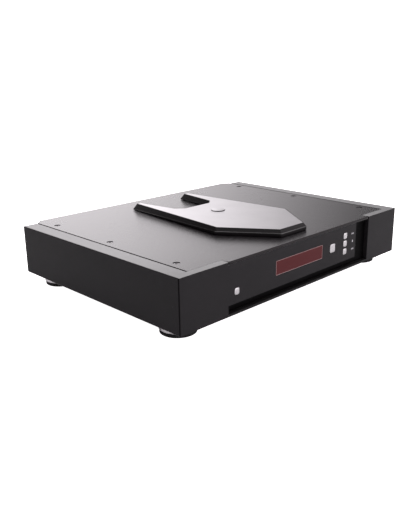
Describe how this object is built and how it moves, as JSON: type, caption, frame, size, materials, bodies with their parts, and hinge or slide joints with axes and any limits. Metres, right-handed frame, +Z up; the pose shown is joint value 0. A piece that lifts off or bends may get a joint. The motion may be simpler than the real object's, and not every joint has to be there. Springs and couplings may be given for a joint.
{
  "type": "cd player",
  "caption": "Full-width top-loading compact disc player: black aluminium case, hinged shield-shaped lid with a silver top, red display, silver keys, round feet.",
  "frame": {"origin": "centre of the footprint, on the surface that the feet stand on", "axes": "+X towards the right-hand side seen from the front, +Y from the front panel towards the rear, +Z up"},
  "size_m": [0.432, 0.3244, 0.0904],
  "materials": {
    "case_metal": "black anodised, fine satin grain",
    "recess_black": "gloss black",
    "display_red": "dark red filter, polished",
    "lid_black": "black, satin",
    "lid_silver": "silver anodised, fine brushed",
    "button_silver": "silver anodised, satin",
    "foot_silver": "turned, clear anodised",
    "foot_rubber": "matt black",
    "screw_steel": "black oxide",
    "deck_black": "moulded, fine texture",
    "bright_steel": "bright zinc",
    "circuit_board": "green solder resist",
    "capacitor_sleeve": "heat-shrink sleeve",
    "transformer_wrap": "copper winding under amber tape",
    "gold_plate": "gold plated",
    "socket_plastic": "black nylon",
    "lens_glass": "coated lens",
    "display_glass": "vacuum display glass"
  },
  "bodies": {
    "case": {"base_plate": "case_metal", "left_cheek": "case_metal", "right_cheek": "case_metal", "front_panel": "case_metal", "top_cover": "case_metal", "rear_panel": "case_metal", "recess_liner": "recess_black", "display_window": "display_red", "display_module": "display_glass", "front_left_foot_ring": "foot_silver", "rear_left_foot_ring": "foot_silver", "front_right_foot_ring": "foot_silver", "rear_right_foot_ring": "foot_silver", "front_left_foot_pad": "foot_rubber", "rear_left_foot_pad": "foot_rubber", "front_right_foot_pad": "foot_rubber", "rear_right_foot_pad": "foot_rubber", "front_left_isolation_mount": "foot_rubber", "rear_left_isolation_mount": "foot_rubber", "front_right_isolation_mount": "foot_rubber", "rear_right_isolation_mount": "foot_rubber", "left_front_cover_screw": "screw_steel", "left_middle_cover_screw": "screw_steel", "left_rear_cover_screw": "screw_steel", "right_front_cover_screw": "screw_steel", "right_middle_cover_screw": "screw_steel", "right_rear_cover_screw": "screw_steel", "drive_deck": "deck_black", "mechanism_chassis": "bright_steel", "spindle_motor": "bright_steel", "sled_motor": "bright_steel", "left_sled_rail": "bright_steel", "right_sled_rail": "bright_steel", "left_hinge_bracket": "bright_steel", "right_hinge_bracket": "bright_steel", "left_hinge_pin": "bright_steel", "right_hinge_pin": "bright_steel", "front_board": "circuit_board", "main_board": "circuit_board", "power_board": "circuit_board", "left_capacitor": "capacitor_sleeve", "right_capacitor": "capacitor_sleeve", "transformer": "transformer_wrap", "left_phono_socket": "gold_plate", "right_phono_socket": "gold_plate", "coaxial_socket": "gold_plate", "mains_inlet": "socket_plastic", "optical_socket": "socket_plastic"},
    "lid": {"lid_body": "lid_black", "lid_plate": "lid_silver", "lid_badge": "lid_silver"},
    "power_key": {"power_button": "button_silver"},
    "play_key": {"play_button": "button_silver"},
    "next_key": {"next_button": "button_silver"},
    "previous_key": {"previous_button": "button_silver"},
    "stop_key": {"stop_button": "button_silver"},
    "disc_spindle": {"turntable_hub": "deck_black"},
    "sled": {"pickup_sled": "deck_black"},
    "lens": {"pickup_lens": "lens_glass"},
    "drive_screw": {"lead_screw": "bright_steel"}
  },
  "joints": [
    {"name": "lid_hinge", "type": "hinge", "parent": "case", "child": "lid", "pos_m": [0, 0.115, 0.0818], "axis": [-1, 0, 0], "range_deg": [0, 75]},
    {"name": "power_press", "type": "slide", "parent": "case", "child": "power_key", "axis": [0, 1, 0], "range_m": [0, 0.001], "stiffness_N_per_m": 800},
    {"name": "play_press", "type": "slide", "parent": "case", "child": "play_key", "axis": [0, 1, 0], "range_m": [0, 0.001], "stiffness_N_per_m": 800},
    {"name": "next_press", "type": "slide", "parent": "case", "child": "next_key", "axis": [0, 1, 0], "range_m": [0, 0.001], "stiffness_N_per_m": 800},
    {"name": "previous_press", "type": "slide", "parent": "case", "child": "previous_key", "axis": [0, 1, 0], "range_m": [0, 0.001], "stiffness_N_per_m": 800},
    {"name": "stop_press", "type": "slide", "parent": "case", "child": "stop_key", "axis": [0, 1, 0], "range_m": [0, 0.001], "stiffness_N_per_m": 800},
    {"name": "disc_spin", "type": "hinge", "parent": "case", "child": "disc_spindle", "pos_m": [0, -0.05475, 0.0714], "axis": [0, 0, 1], "continuous": true},
    {"name": "sled_slide", "type": "slide", "parent": "case", "child": "sled", "axis": [0, 1, 0], "range_m": [0, 0.034]},
    {"name": "lens_focus", "type": "slide", "parent": "sled", "child": "lens", "axis": [0, 0, 1], "range_m": [-0.0007, 0.0007], "stiffness_N_per_m": 100},
    {"name": "drive_screw_turn", "type": "hinge", "parent": "case", "child": "drive_screw", "pos_m": [0.026, -0.05475, 0.0581], "axis": [0, 1, 0], "range_deg": [-1, 4081]}
  ],
  "couplings": [
    {"joint": "drive_screw_turn", "follows": "sled_slide", "rad_per_m": 2094.4}
  ]
}
